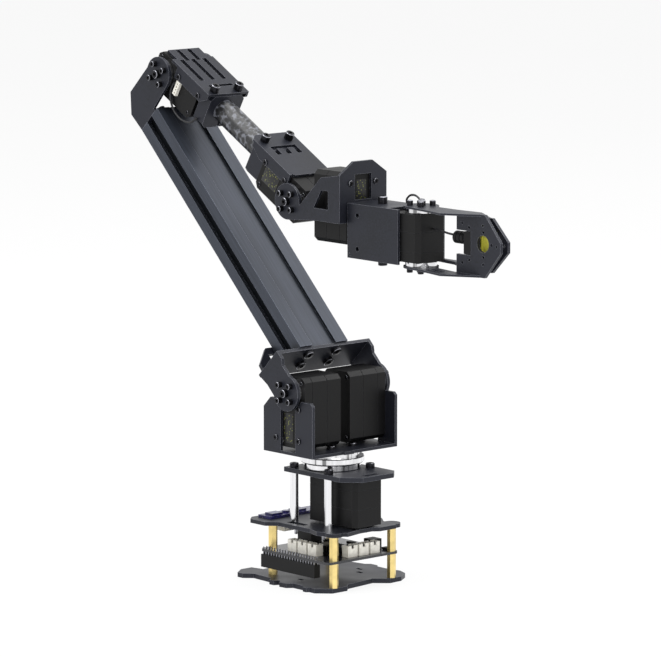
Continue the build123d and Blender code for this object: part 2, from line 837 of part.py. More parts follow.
# Wrist cover: like the elbow cover, with a comb shaped opening
wrist_cover_start = forearm_length - wrist_cover_back
wrist_cover_end = forearm_length - wrist_cover_ahead
wrist_flange_end = forearm_length - wrist_flange_back
comb_start = front_clamp_start + 11.4
front_clamp_screw_p = front_clamp_start + 3.5
with BuildPart() as wrist_cover:
    with BuildSketch(forearm_face(cover_level)) as sheet:
        with Locations(((wrist_cover_start + wrist_cover_end) / 2, 0)):
            Rectangle(wrist_cover_end - wrist_cover_start, 2 * cover_half_width)
        chamfer(sheet.vertices().group_by(Axis.Z)[-1], 4)
        with Locations((comb_start, 0)):
            Rectangle(2.6, 21, mode=Mode.SUBTRACT)
        with Locations((comb_start + 3.8, 0)):
            with GridLocations(1, 8.6, 1, 3):
                Rectangle(7.6, 3.8, mode=Mode.SUBTRACT)
    extrude(amount=cover_sheet)
    for y in (cover_half_width, cover_sheet - cover_half_width):
        with BuildSketch(forearm_side(y)):
            Polygon(
                (wrist_cover_start + 5, cover_top), (wrist_flange_end, cover_top),
                (wrist_flange_end, cover_top - wrist_flange), (wrist_cover_start + 14, cover_top - wrist_flange),
                (wrist_cover_start + 5, cover_top - 4),
                align=None,
            )
        extrude(amount=cover_sheet)
keep(wrist_cover, "wrist_cover")

wrist_cover_screws = cap_screws(
    forearm_face(cover_top),
    ((front_clamp_screw_p, -clamp_screw_y), (front_clamp_screw_p, clamp_screw_y)),
)
keep(wrist_cover_screws, "wrist_cover_screws")

# Small screws in the side flanges of both covers
flange_screw_p = (
    flange_start + 4, cover_front - 9, wrist_cover_start + 20.8, wrist_flange_end - 3,
)
with BuildPart() as flange_screws:
    for side in (-1, 1):
        with BuildSketch(forearm_side(side * cover_half_width)):
            with Locations(*[(p, flange_screw_q) for p in flange_screw_p]):
                RegularPolygon(small_head_radius, head_flats)
        extrude(amount=-side * (joint_inner - cover_half_width - gap))
keep(flange_screws, "flange_screws")

# Wrist servo, its horns, and the yoke that they turn
wrist_shaft = Plane(origin=wrist, x_dir=-along_forearm, z_dir=left)
wrist_servo = servo(wrist_shaft)
keep(wrist_servo, "wrist_servo")

wrist_axis = wrist_side(0)
wrist_horns = horns(wrist_axis)
keep(wrist_horns, "wrist_horns")
wrist_horn_screws = horn_screws(wrist_axis, wrist_outer)
keep(wrist_horn_screws, "wrist_horn_screws")

web_x = roll_servo_back + servo_case
yoke_low = -9.5
yoke_high = 20.5
with BuildPart() as wrist_yoke:
    for y in (-joint_inner, wrist_outer):
        with BuildSketch(wrist_side(y)):
            Circle(wrist_arm_radius)
            Polygon(
                (3, -wrist_arm_radius + 0.4), (27, yoke_low), (web_x + wrist_sheet, yoke_low),
                (web_x + wrist_sheet, yoke_high), (32, yoke_high - 2.5), (12.4, -0.9), (0, 0),
                align=None,
            )
            Polygon((25, -1.8), (32, 10), (38.6, 10), (38.6, -1.8), align=None, mode=Mode.SUBTRACT)
        extrude(amount=wrist_sheet)
    with BuildSketch(front(roll_servo_face, wrist.Z)):
        Polygon(
            (-wrist_outer, yoke_low), (wrist_outer, yoke_low), (wrist_outer, yoke_high),
            (8, yoke_high + 8), (-8, yoke_high + 8), (-wrist_outer, yoke_high),
            align=None,
        )
        with Locations((0, -roll_drop)):
            Circle(horn_radius + 0.7, mode=Mode.SUBTRACT)
        with Locations((0, 12.4)):
            Rectangle(13.8, 16, mode=Mode.SUBTRACT)
    extrude(amount=wrist_sheet)
keep(wrist_yoke, "wrist_yoke")

roll_shaft = Plane(
    origin=(roll_servo_face - servo_case / 2, 0, roll_level), x_dir=(0, 0, 1), z_dir=(1, 0, 0)
)
roll_servo = servo(roll_shaft)
keep(roll_servo, "roll_servo")

roll_servo_screws = screw_heads(
    front(roll_servo_face + wrist_sheet, wrist.Z), ((-10.5, 15), (10.5, 15)), small_head_radius, gap * 3,
)
keep(roll_servo_screws, "roll_servo_screws")

# Hand: a channel on the roll horn, with the gripper servo between its walls
roll_horn = horns(roll_shaft, first=1)
keep(roll_horn, "roll_horn")

wall_inner = servo_half + gap
wall_outer = wall_inner + hand_sheet
hand_end = hand_back + hand_reach
hand_screw_x = hand_back + 17
with BuildPart() as hand_frame:
    with BuildSketch(front(hand_back, roll_level)):
        Rectangle(2 * wall_outer, 2 * hand_half_height)
    extrude(amount=hand_sheet)
    for y in (wall_outer, -wall_inner):
        with BuildSketch(hand_side(y)):
            Polygon(
                (hand_back, hand_half_height), (hand_end, hand_half_height), (hand_end, -hand_half_height),
                (hand_back + hand_chamfer, -hand_half_height), (hand_back, hand_chamfer - hand_half_height),
                align=None,
            )
            with Locations((hand_back + 9, 10), (hand_back + 9, -11)):
                Circle(cap_screw_radius, mode=Mode.SUBTRACT)
        extrude(amount=hand_sheet)
    for z in (hand_half_height - hand_sheet, -hand_half_height):
        with BuildSketch(level(roll_level + z)):
            with Locations((hand_back + 18, 0)):
                Rectangle(36, 2 * wall_outer)
        extrude(amount=hand_sheet)
keep(hand_frame, "hand_frame")

with BuildPart() as hand_screws:
    for side in (-1, 1):
        with BuildSketch(level(roll_level + side * hand_half_height)):
            with Locations((hand_screw_x, 0)):
                Circle(cap_head_radius)
        extrude(amount=side * cap_head_height)
keep(hand_screws, "hand_screws")

gripper_shaft = Plane(origin=(jaw_x, 0, roll_level), x_dir=(-1, 0, 0), z_dir=(0, 0, -1))
gripper_servo = servo(gripper_shaft)
keep(gripper_servo, "gripper_servo")


# Jaws: each has a flat gripping plate between two flanges
def jaw_plate_sketch(half_height):
    """Outline of a gripping plate, seen from the side, from the jaw axis forward."""
    Polygon(
        (jaw_x + jaw_back, half_height), (jaw_x + jaw_shoulder, half_height),
        (jaw_x + jaw_tip, jaw_tip_half), (jaw_x + jaw_tip, -jaw_tip_half),
        (jaw_x + jaw_shoulder, -half_height), (jaw_x + jaw_back, -half_height),
        align=None,
    )
    with Locations((jaw_x + jaw_back, lamp_block_rise)):
        Rectangle(2 * jaw_window, lamp_block_height + 2 * lamp_play, mode=Mode.SUBTRACT)
    with Locations((jaw_x + 59.2, 1.4)):
        Circle(5.2, mode=Mode.SUBTRACT)
    with Locations(
        (jaw_x + 41, 12.6), (jaw_x + 47, 10.6), (jaw_x + 59, 12.6), (jaw_x + 59.4, 8.6),
        (jaw_x + 66.6, 1.4), (jaw_x + 59.6, -6.6), (jaw_x + 59.4, -11), (jaw_x + 41, -11.5),
        (jaw_x + 47.2, -9.4), (jaw_x + 71, 0.8),
    ):
        RegularPolygon(1, head_flats, mode=Mode.SUBTRACT)


fixed_flange = hand_half_height - 0.4
fixed_arm_inner = wall_outer + 0.2
fixed_arm_outer = fixed_arm_inner + hand_sheet
with BuildPart() as fixed_jaw:
    with BuildSketch(hand_side(jaw_gap / 2 + jaw_plate)):
        jaw_plate_sketch(fixed_flange)
    extrude(amount=jaw_plate)
    for z in (fixed_flange - jaw_plate, -fixed_flange):
        with BuildSketch(level(roll_level + z)):
            Polygon(
                (jaw_x - 5, fixed_arm_inner), (jaw_x + 18.6, 10.7), (jaw_x + jaw_back, jaw_gap / 2),
                (jaw_x + jaw_shoulder, jaw_gap / 2), (jaw_x + jaw_wing_x, jaw_wing_y),
                (jaw_x + 16, fixed_arm_outer), (jaw_x - 5, fixed_arm_outer),
                align=None,
            )
        extrude(amount=jaw_plate)
    with BuildSketch(hand_side(fixed_arm_outer)):
        Polygon(
            (jaw_x - 30, fixed_flange - 6), (jaw_x - 24, fixed_flange), (jaw_x + 4, fixed_flange),
            (jaw_x + 4, -fixed_flange), (jaw_x - 24, -fixed_flange), (jaw_x - 30, 6 - fixed_flange),
            align=None,
        )
    extrude(amount=hand_sheet)
keep(fixed_jaw, "fixed_jaw")

moving_flange = jaw_flange
with BuildPart() as moving_jaw:
    with BuildSketch(hand_side(-jaw_gap / 2)):
        jaw_plate_sketch(moving_flange + jaw_sheet)
    extrude(amount=jaw_plate)
    for z in (moving_flange, -moving_flange - jaw_sheet):
        with BuildSketch(level(roll_level + z)):
            with Locations((jaw_x, 0)):
                Circle(jaw_round)
            Polygon(
                (jaw_x, -jaw_round), (jaw_x + 20.3, -14.3), (jaw_x + jaw_wing_x, -jaw_wing_y),
                (jaw_x + jaw_shoulder, -jaw_gap / 2), (jaw_x + 37.8, -jaw_gap / 2), (jaw_x + 34.4, -3.7),
                (jaw_x + 16, -0.3), (jaw_x + 4.5, 10),
                align=None,
            )
        extrude(amount=jaw_sheet)
    with BuildSketch(level(roll_level - moving_flange - jaw_sheet)):
        with Locations((jaw_x + 23.6, -8)):
            Rectangle(14, 4, rotation=-12)
    extrude(amount=jaw_sheet, mode=Mode.SUBTRACT)
keep(moving_jaw, "moving_jaw")

gripper_horns = horns(gripper_shaft)
keep(gripper_horns, "gripper_horns")
jaw_screws = horn_screws(gripper_shaft, moving_flange + jaw_sheet)
keep(jaw_screws, "jaw_screws")

# Work lamp between the jaws: a ribbed barrel and a lens block seated on the fixed jaw
def lamp_section(x):
    return front(jaw_x + x, roll_level + lamp_rise)


lamp_end = lamp_start + lamp_barrel
with BuildPart() as work_lamp:
    with BuildSketch(hand_side(jaw_gap / 2)):
        with Locations((jaw_x + lamp_end + lamp_block / 2, lamp_block_rise)):
            Rectangle(lamp_block, lamp_block_height)
    extrude(amount=lamp_radius + jaw_gap / 2)
    with BuildSketch(lamp_section(lamp_start)):
        Circle(lamp_radius - 0.4)
    extrude(amount=lamp_barrel)
    for rib in range(3):
        with BuildSketch(lamp_section(lamp_start + rib * lamp_barrel / 3)):
            Circle(lamp_radius)
        extrude(amount=lamp_barrel / 5)
keep(work_lamp, "work_lamp")

# Plug on the elbow servo's side, and the lead that goes round from it to the rear clamp
def on_forearm(p, q, y):
    return elbow + along_forearm * p + across_forearm * q + left * y


servo_side = -servo_case / 2
with BuildPart() as elbow_plug:
    with BuildSketch(forearm_side(servo_side)):
        with Locations((16.8, 0)):
            Rectangle(lead_plug_length, lead_plug_width)
    extrude(amount=lead_plug_height)
    with BuildSketch(forearm_side(servo_side - lead_plug_height)):
        with Locations((16.8, 0)):
            with GridLocations(1, 2.2, 1, 4):
                Rectangle(1.2, 1)
    extrude(amount=-lead_plug_height / 2, mode=Mode.SUBTRACT)
keep(elbow_plug, "elbow_plug")

plug_back = 16.8 - lead_plug_length / 2
lead_y = servo_side - lead_plug_height / 2
elbow_lead = lead([
    on_forearm(plug_back - 2 * lead_play, 2.2, lead_y), on_forearm(plug_back - 2.4, 1.2, lead_y - 0.2),
    on_forearm(plug_back - 2.8, -4.2, lead_y - 0.5), on_forearm(plug_back + 0.2, -10.6, lead_y - 0.4),
    on_forearm(plug_back + 6.6, -15.2, lead_y), on_forearm(plug_back + 15.6, -16, lead_y + 0.3),
    on_forearm(plug_back + 23.4, -12.6, lead_y + 0.3),
    on_forearm(plug_back + 26.6, -6.6, -clamp_half_width - lead_radius - lead_play),
])
keep(elbow_lead, "elbow_lead")


# Lead from the gripper servo to the lamp, and the loop from its top into the hand
def on_hand(x, y, z):
    return Vector(jaw_x + x, y, roll_level + z)


lamp_lead = lead([
    on_hand(servo_shaft_inset + lead_play, 0.4, 5.6), on_hand(servo_shaft_inset + 6, 0.4, 5.5),
    on_hand(servo_shaft_inset + 13, 0, 4.4), on_hand(lamp_start - lead_play, 0, 3.8),
])
keep(lamp_lead, "lamp_lead")

hand_lead = lead([
    on_hand(-24.2, 10.4, hand_half_height + lead_play), on_hand(-24.6, 10.4, hand_half_height + 3.0),
    on_hand(-21.4, 10.4, hand_half_height + 5.8), on_hand(-16.6, 10.4, hand_half_height + 6.2),
    on_hand(-12.4, 10.4, hand_half_height + 4.0), on_hand(-10.9, 10.4, hand_half_height + 0.4),
    on_hand(-11.2, 10.4, servo_case / 2 + lead_play),
])
keep(hand_lead, "hand_lead")
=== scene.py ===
import json
import math
from itertools import product

import bmesh
import bpy
from bpy.props import FloatProperty, PointerProperty, StringProperty
from mathutils import Matrix, Vector


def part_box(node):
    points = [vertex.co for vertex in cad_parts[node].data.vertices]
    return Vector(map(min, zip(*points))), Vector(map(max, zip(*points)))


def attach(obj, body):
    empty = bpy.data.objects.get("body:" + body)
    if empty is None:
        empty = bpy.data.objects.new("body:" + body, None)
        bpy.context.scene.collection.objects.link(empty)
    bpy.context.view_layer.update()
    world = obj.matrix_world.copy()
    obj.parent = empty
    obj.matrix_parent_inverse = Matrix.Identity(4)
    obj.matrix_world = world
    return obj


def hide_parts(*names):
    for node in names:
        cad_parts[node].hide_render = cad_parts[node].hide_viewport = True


bl_info = {
    "name": "Desktop Robot Arm",
    "version": (1, 0, 0),
    "blender": (4, 5, 0),
    "location": "View3D > Sidebar > Robot Arm",
    "description": "Dresses a desktop robot arm with its finishes, small parts and studio",
    "category": "Object",
}

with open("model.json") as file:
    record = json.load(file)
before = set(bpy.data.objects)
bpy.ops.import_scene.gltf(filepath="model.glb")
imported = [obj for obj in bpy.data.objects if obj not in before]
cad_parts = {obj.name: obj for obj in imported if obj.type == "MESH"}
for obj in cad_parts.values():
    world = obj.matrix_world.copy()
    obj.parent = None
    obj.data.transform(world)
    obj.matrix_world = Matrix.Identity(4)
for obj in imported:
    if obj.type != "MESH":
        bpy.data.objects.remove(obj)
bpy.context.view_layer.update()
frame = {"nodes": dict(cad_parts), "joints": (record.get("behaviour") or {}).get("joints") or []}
MM = 0.001


def joint_place(name):
    """The point that a joint turns about, in metres."""
    for joint in frame["joints"]:
        if joint["name"] == name:
            return Vector(joint["pos_m"])
    raise RuntimeError("no joint " + name)


# Places that the frame gives
SHOULDER = joint_place("shoulder_pitch")
ELBOW = joint_place("elbow_pitch")
WRIST = joint_place("wrist_pitch")
ROLL = joint_place("wrist_roll")
GRIPPER = joint_place("gripper")

# Directions. The upper arm leans back at 45 degrees
LEFT = Vector((0, 1, 0))
UP = Vector((0, 0, 1))
AHEAD = Vector((1, 0, 0))
ARM = Vector((-math.sqrt(0.5), 0, math.sqrt(0.5)))
ARM_FRONT = Vector((math.sqrt(0.5), 0, math.sqrt(0.5)))
FOREARM = (WRIST - ELBOW).normalized()
FOREARM_UP = Vector((-FOREARM.z, 0, FOREARM.x))

# Sizes below are in millimetres, where nothing else is said

# Servo case. The inset is how far its shaft is from the near end
SERVO_LENGTH = 45.2
SERVO_WIDTH = 24.7
SERVO_CASE = 30.0
SERVO_INSET = 10.0
CASE_SCREW_EDGE = 3.4
CASE_SCREW_HEIGHT = 0.5

# Screw heads. The shares are of the head's radius, or of its height where the name says so
HEAD_SIDES = 24
HEAD_ROUND = 0.25
HEAD_ROUND_HEIGHT = 0.3
SOCKET_SHARE = 0.42
SOCKET_DEPTH_HEIGHT = 0.55
RIM_SHARE = 0.8

# Films on the servos
FILM_THICKNESS = 0.16
FILM_EDGE = 0.05

# Grip pad: how far it is behind the jaw's tip and above the joint, and where its plate's face is
PAD_BEHIND_TIP = 18.7
PAD_RAISE = 0.8
PAD_PLATE = 2.2
PAD_LENGTH = 9
PAD_HEIGHT = 17
PAD_EDGE = 0.3
PAD_RIM = 1.2
PAD_DISH = 0.2

# Chips on the driver board: each is a block on a smaller foot
CHIP_SIZE = Vector((5, 4, 1.5))
CHIP_LEVEL = 0.95
CHIP_EDGE = 0.25
CHIP_FOOT_INSET = 0.5
CHIP_FOOT = 0.2
CHIP_PLACES = ((-20, 14), (-20, 5), (-4, 20), (6, 20), (-18, -12), (25, 24))

# Contact pins, and their feet's levels from the top of the board
PIN_HEIGHT = 4.6
PIN_TIP_INSET = 0.15
PIN_TIP = 0.25
PLUG_PIN_PITCH = 2
PLUG_PIN_LEVEL = 2
HEADER_PITCH = 2.54
HEADER_PIN_LEVEL = -3.6

# Screws that hang from the middle plate
SHANK_RADIUS = 1.0
SHANK_LENGTH = 5
SHANK_EDGE = 0.3
SHANK_SIDES = 16
SHANK_PLACES = ((14, -20), (-12, -20), (14, 16), (-12, 16))

# Studio, in metres and watts. Each lamp: its name, its place, its size and its power
FLOOR_SIZE = 8
FLOOR_DROP = 0.0001
LAMP_AIM = Vector((0, 0, 0.17))
LAMPS = (
    ("key", (-0.7, -1.2, 2.1), 1.3, 19),
    ("overhead", (0.3, 0.1, 2.4), 1.8, 36),
    ("fill", (1.9, -0.9, 0.8), 1.4, 12),
    ("rim", (0.2, 1.8, 1.5), 1.2, 12),
)

# Camera, solved from the photo: angles in degrees, lengths in metres, focal length in pixels
PHOTO_AZIMUTH = 48.139
PHOTO_ELEVATION = 8.676
PHOTO_DISTANCE = 2.95522
PHOTO_ACROSS = -0.00107
PHOTO_ABOVE = 0.15993
PHOTO_FOCAL = 4650.57
PHOTO_WIDTH = 661
SENSOR_WIDTH = 36


class RobotArmSizes(bpy.types.PropertyGroup):
    """Sizes of the small parts that the frame leaves out."""
    case_screw: FloatProperty(
        name="Case screw", description="Radius of the screws in a servo case",
        default=1.3 * MM, unit="LENGTH")
    contact_pin: FloatProperty(
        name="Pin", description="Width of a contact pin", default=0.64 * MM, unit="LENGTH")
    horn_screw: FloatProperty(
        name="Horn screw", description="How far the horn screws stand above the frame's heads",
        default=1.6 * MM, unit="LENGTH")
    grip_pad: FloatProperty(
        name="Grip pad", description="Thickness of the jaw's rubber pad",
        default=0.9 * MM, unit="LENGTH")


class RobotArmFinishes(bpy.types.PropertyGroup):
    """Colours of the arm's finishes, as sRGB hex."""
    sheet: StringProperty(name="Sheet", description="Black anodised sheet", default="#1f2129")
    profile: StringProperty(name="Profile", description="Anodised profile", default="#383c46")
    case: StringProperty(name="Servo case", description="Moulded nylon", default="#070708")
    brass: StringProperty(name="Brass", description="Turned brass pillars", default="#f5dc94")
    bright: StringProperty(name="Bright metal", description="Turned aluminium", default="#ececee")
    plug: StringProperty(name="Plug", description="White nylon plugs", default="#e9e6dc")
    pad: StringProperty(
        name="Grip pad", description="Rubber pad of the fixed jaw", default="#ece65a")


def linear(text):
    """An sRGB hex colour as linear red, green, blue and alpha."""
    values = [int(text[i:i + 2], 16) / 255 for i in (1, 3, 5)]
    values = [v / 12.92 if v <= 0.04045 else ((v + 0.055) / 1.055) ** 2.4 for v in values]
    return (*values, 1.0)


def shade(text, factor):
    """A hex colour made lighter or darker."""
    values = [min(255, int(int(text[i:i + 2], 16) * factor)) for i in (1, 3, 5)]
    return "#%02x%02x%02x" % tuple(values)


def set_inputs(tree, node, inputs):
    """Sets a node's inputs, each to a value or to a socket that it is linked to."""
    for name, value in dict(inputs).items():
        if isinstance(value, bpy.types.NodeSocket):
            tree.links.new(value, node.inputs[name])
        else:
            node.inputs[name].default_value = value


def add_node(tree, kind, inputs=(), stops=(), **settings):
    """Adds one shader node, with its settings, its inputs and its stops: positions and colours."""
    node = tree.nodes.new(kind)
    for name, value in settings.items():
        setattr(node, name, value)
    set_inputs(tree, node, inputs)
    if stops:
        elements = node.color_ramp.elements
        elements[0].position, elements[0].color = stops[0][0], linear(stops[0][1])
        elements[1].position, elements[1].color = stops[-1][0], linear(stops[-1][1])
        for position, colour in stops[1:-1]:
            elements.new(position).color = linear(colour)
    return node


def start_material(name, values):
    """A new material, with the even values on its shader's own sockets."""
    material = bpy.data.materials.new(name)
    material.use_nodes = True
    tree = material.node_tree
    shader = tree.nodes["Principled BSDF"]
    set_inputs(tree, shader, values)
    place = add_node(tree, "ShaderNodeTexCoord").outputs["Object"]
    return material, tree, shader, place


def painted_edge_highlight(tree, tone, edge_highlight_colour, width):
    """Mixes a lighter colour in along sharp edges: a painted highlight where the edges catch the
    light.
    """
    soft = add_node(tree, "ShaderNodeBevel", {"Radius": width}, samples=6)
    flat = add_node(tree, "ShaderNodeNewGeometry")
    turn = add_node(tree, "ShaderNodeVectorMath", {
        0: soft.outputs["Normal"], 1: flat.outputs["True Normal"]}, operation="DOT_PRODUCT")
    edge = add_node(tree, "ShaderNodeMapRange", {
        "Value": turn.outputs["Value"], "From Min": 0.99, "From Max": 0.8,
        "To Min": 0.0, "To Max": 0.8})
    mixed = add_node(tree, "ShaderNodeMixRGB", {
        "Fac": edge.outputs[0], "Color1": tone, "Color2": linear(edge_highlight_colour)})
    return mixed.outputs["Color"]


def mottled_material(name, values, patch, detail, stops):
    """A material whose colour wanders in patches of a given size."""
    material, tree, shader, place = start_material(name, values)
    noise = add_node(tree, "ShaderNodeTexNoise", {
        "Vector": place, "Scale": 1 / (patch * MM), "Detail": detail})
    tone = add_node(tree, "ShaderNodeValToRGB", {"Fac": noise.outputs["Fac"]}, stops=stops)
    set_inputs(tree, shader, {"Base Color": tone.outputs["Color"]})
    return material


def black_anodised_sheet(colour):
    """Anodised aluminium sheet: a dark, faintly grained satin, with thin bright lines of painted
    highlight at its cut edges."""
    material, tree, shader, place = start_material(
        "black anodised sheet", {"Metallic": 0.35, "IOR": 1.45})
    # Etched grain is too fine for the render, so it is drawn 1.2 mm wide
    grain = add_node(tree, "ShaderNodeTexNoise", {
        "Vector": place, "Scale": 1 / (1.2 * MM), "Detail": 4.0})
    cloud = add_node(tree, "ShaderNodeTexNoise", {
        "Vector": place, "Scale": 1 / (30 * MM), "Detail": 2.0})
    mixed = add_node(tree, "ShaderNodeMath", {
        0: grain.outputs["Fac"], 1: cloud.outputs["Fac"]}, operation="ADD")
    tone = add_node(tree, "ShaderNodeValToRGB", {"Fac": mixed.outputs[0]}, stops=(
        (0.75, shade(colour, 0.88)), (1.25, shade(colour, 1.12))))
    rough = add_node(tree, "ShaderNodeMapRange", {
        "Value": cloud.outputs["Fac"], "From Min": 0.3, "From Max": 0.7,
        "To Min": 0.36, "To Max": 0.5})
    relief = add_node(tree, "ShaderNodeBump", {
        "Height": grain.outputs["Fac"], "Strength": 0.12, "Distance": 0.05 * MM})
    # The base colour takes a painted highlight along the sheet's sharp edges
    set_inputs(tree, shader, {
        "Base Color": painted_edge_highlight(tree, tone.outputs["Color"], "#9a9ca6", 0.3 * MM),
        "Roughness": rough.outputs[0], "Normal": relief.outputs["Normal"]})
    return material


def anodised_profile(colour):
    """Extruded aluminium, anodised blue grey: fine draw lines along it, and painted shade that
    darkens its hollows."""
    material, tree, shader, place = start_material(
        "anodised extrusion", {"Roughness": 0.4, "Metallic": 0.45, "IOR": 1.45})
    turn = add_node(tree, "ShaderNodeMapping", {
        "Vector": place, "Rotation": (0, math.radians(45), 0)})
    # Real draw lines are too fine for the render, so they are drawn 0.6 mm wide
    lines = add_node(tree, "ShaderNodeMapping", {
        "Vector": turn.outputs[0], "Scale": (1, 1, 0.02)})
    draw = add_node(tree, "ShaderNodeTexNoise", {
        "Vector": lines.outputs[0], "Scale": 1 / (0.6 * MM), "Detail": 3.0})
    tone = add_node(tree, "ShaderNodeValToRGB", {"Fac": draw.outputs["Fac"]}, stops=(
        (0.3, shade(colour, 0.92)), (0.7, shade(colour, 1.1))))
    # Painted shade: where the AO node finds a hollow, the colour darkens towards a darker copy of
    # its own
    hollow = add_node(tree, "ShaderNodeAmbientOcclusion", {"Distance": 9 * MM}, samples=8)
    depth = add_node(tree, "ShaderNodeMapRange", {
        "Value": hollow.outputs["AO"], "From Min": 0.7, "From Max": 0.97,
        "To Min": 1.0, "To Max": 0.0})
    hollow_shaded = add_node(tree, "ShaderNodeMixRGB", {
        "Fac": depth.outputs[0], "Color1": tone.outputs["Color"],
        "Color2": linear(shade(colour, 0.55))})
    relief = add_node(tree, "ShaderNodeBump", {
        "Height": draw.outputs["Fac"], "Strength": 0.1, "Distance": 0.04 * MM})
    # The base colour takes a painted highlight along the profile's sharp edges
    set_inputs(tree, shader, {
        "Base Color": painted_edge_highlight(tree, hollow_shaded.outputs["Color"], "#8e93a3", 0.35 * MM),
        "Normal": relief.outputs["Normal"]})
    return material


def moulded_case(colour):
    """Glass filled nylon, moulded against a spark eroded tool: black, with a fine even grain."""
    material, tree, shader, place = start_material("spark textured nylon", {
        "Roughness": 0.5, "IOR": 1.5, "Specular IOR Level": 0.25})
    # The spark grain is too fine for the render, so it is drawn 0.5 mm wide
    grain = add_node(tree, "ShaderNodeTexNoise", {
        "Vector": place, "Scale": 1 / (0.5 * MM), "Detail": 3.0})
    tone = add_node(tree, "ShaderNodeValToRGB", {"Fac": grain.outputs["Fac"]}, stops=(
        (0.35, shade(colour, 0.85)), (0.65, shade(colour, 1.2))))
    relief = add_node(tree, "ShaderNodeBump", {
        "Height": grain.outputs["Fac"], "Strength": 0.2, "Distance": 0.05 * MM})
    # The base colour takes a painted highlight along the case's sharp edges
    set_inputs(tree, shader, {
        "Base Color": painted_edge_highlight(tree, tone.outputs["Color"], "#38383b", 0.3 * MM),
        "Normal": relief.outputs["Normal"]})
    return material


def turned_brass(colour):
    """Drawn hexagon brass, nickel pale and bright, with soft patches of warmer tarnish."""
    material, tree, shader, place = start_material(
        "drawn brass", {"Roughness": 0.3, "Metallic": 1.0})
    patch = add_node(tree, "ShaderNodeTexNoise", {
        "Vector": place, "Scale": 1 / (7 * MM), "Detail": 2.0})
    tone = add_node(tree, "ShaderNodeValToRGB", {"Fac": patch.outputs["Fac"]}, stops=(
        (0.3, shade(colour, 0.9)), (0.7, shade(colour, 1.04))))
    relief = add_node(tree, "ShaderNodeBump", {
        "Height": patch.outputs["Fac"], "Strength": 0.04, "Distance": 0.03 * MM})
    set_inputs(tree, shader, {
        "Base Color": tone.outputs["Color"], "Normal": relief.outputs["Normal"]})
    return material


def turned_aluminium(colour):
    """Turned and polished aluminium: a bright mirror with soft upright streaks of painted dark
    reflection.
    """
    material, tree, shader, place = start_material("polished aluminium", {"Metallic": 1.0})
    # The streaks are painted dark reflections, stretched upright and drawn 3 mm wide
    upright = add_node(tree, "ShaderNodeMapping", {"Vector": place, "Scale": (1, 1, 0.03)})
    painted_reflection_streak = add_node(tree, "ShaderNodeTexNoise", {
        "Vector": upright.outputs[0], "Scale": 1 / (3 * MM), "Detail": 1.0})
    # Painted reflection: the darkest stop draws the dark upright streaks
    tone = add_node(tree, "ShaderNodeValToRGB", {"Fac": painted_reflection_streak.outputs["Fac"]}, stops=(
        (0.34, shade(colour, 0.55)), (0.42, shade(colour, 0.95)), (0.7, shade(colour, 1.03))))
    rough = add_node(tree, "ShaderNodeMapRange", {
        "Value": painted_reflection_streak.outputs["Fac"], "From Min": 0.3, "From Max": 0.7,
        "To Min": 0.06, "To Max": 0.14})
    set_inputs(tree, shader, {
        "Base Color": tone.outputs["Color"], "Roughness": rough.outputs[0]})
    return material


def black_oxide_steel():
    """Black oxide on steel screws: dark with a slight oily sheen."""
    return mottled_material(
        "black oxide steel", {"Roughness": 0.3, "Metallic": 0.9, "IOR": 1.45},
        0.8, 2.0, ((0.3, "#1b1b1e"), (0.7, "#303034")))


def bright_steel_and_rim_highlight():
    """Bright steel for pins and shanks, also painted on the rounded rim of a black screw head as a
    highlight.
    """
    return mottled_material(
        "bright steel, painted rim highlight", {"Roughness": 0.3, "Metallic": 1.0},
        0.7, 2.0, ((0.3, "#7c7d84"), (0.7, "#b6b7be")))


def lead_rubber():
    """Soft extruded lead covering: black, matt, with the dust that it holds."""
    return mottled_material(
        "extruded lead rubber", {"Roughness": 0.55, "IOR": 1.5},
        2, 3.0, ((0.35, "#141416"), (0.65, "#26262a")))


def grip_rubber(colour):
    """Moulded silicone rubber: an even yellow with a soft sheen."""
    return mottled_material(
        "moulded silicone", {"Roughness": 0.5, "IOR": 1.41},
        3, 2.0, ((0.35, shade(colour, 0.92)), (0.65, shade(colour, 1.05))))


def nylon_plug(colour):
    """Natural nylon plugs: warm white, slightly waxy."""
    return mottled_material(
        "natural nylon", {"Roughness": 0.42, "IOR": 1.53},
        4, 2.0, ((0.35, shade(colour, 0.94)), (0.65, shade(colour, 1.03))))


def label_film():
    """A matt polyester film on the servo case: black, with dim yellow green flecks and no
    words."""
    material, tree, shader, place = start_material(
        "printed polyester film", {"Roughness": 0.4, "IOR": 1.5})
    fleck = add_node(tree, "ShaderNodeTexVoronoi", {"Vector": place, "Scale": 1 / (1.4 * MM)})
    tone = add_node(tree, "ShaderNodeValToRGB", {"Fac": fleck.outputs["Distance"]}, stops=(
        (0.2, "#7d813a"), (0.3, "#101011")))
    set_inputs(tree, shader, {"Base Color": tone.outputs["Color"]})
    return material


def carbon_tube_finish():
    """Rolled carbon fibre under clear resin: dark, with soft light blotches painted as highlights
    on the cloth."""
    material, tree, shader, place = start_material("carbon cloth under resin", {
        "Roughness": 0.4, "IOR": 1.5, "Coat Weight": 0.25, "Coat Roughness": 0.12})
    cloth_highlight_cells = add_node(tree, "ShaderNodeTexVoronoi", {"Vector": place, "Scale": 1 / (2.6 * MM)})
    patch = add_node(tree, "ShaderNodeTexNoise", {
        "Vector": place, "Scale": 1 / (4 * MM), "Detail": 3.0})
    mixed = add_node(tree, "ShaderNodeMath", {
        0: cloth_highlight_cells.outputs["Distance"], 1: patch.outputs["Fac"]}, operation="MULTIPLY")
    # The lightest stop paints the highlights on the blotches
    tone = add_node(tree, "ShaderNodeValToRGB", {"Fac": mixed.outputs[0]}, stops=(
        (0.1, "#0f0f11"), (0.26, "#1c1d20"), (0.42, "#6a6c74")))
    set_inputs(tree, shader, {"Base Color": tone.outputs["Color"]})
    return material


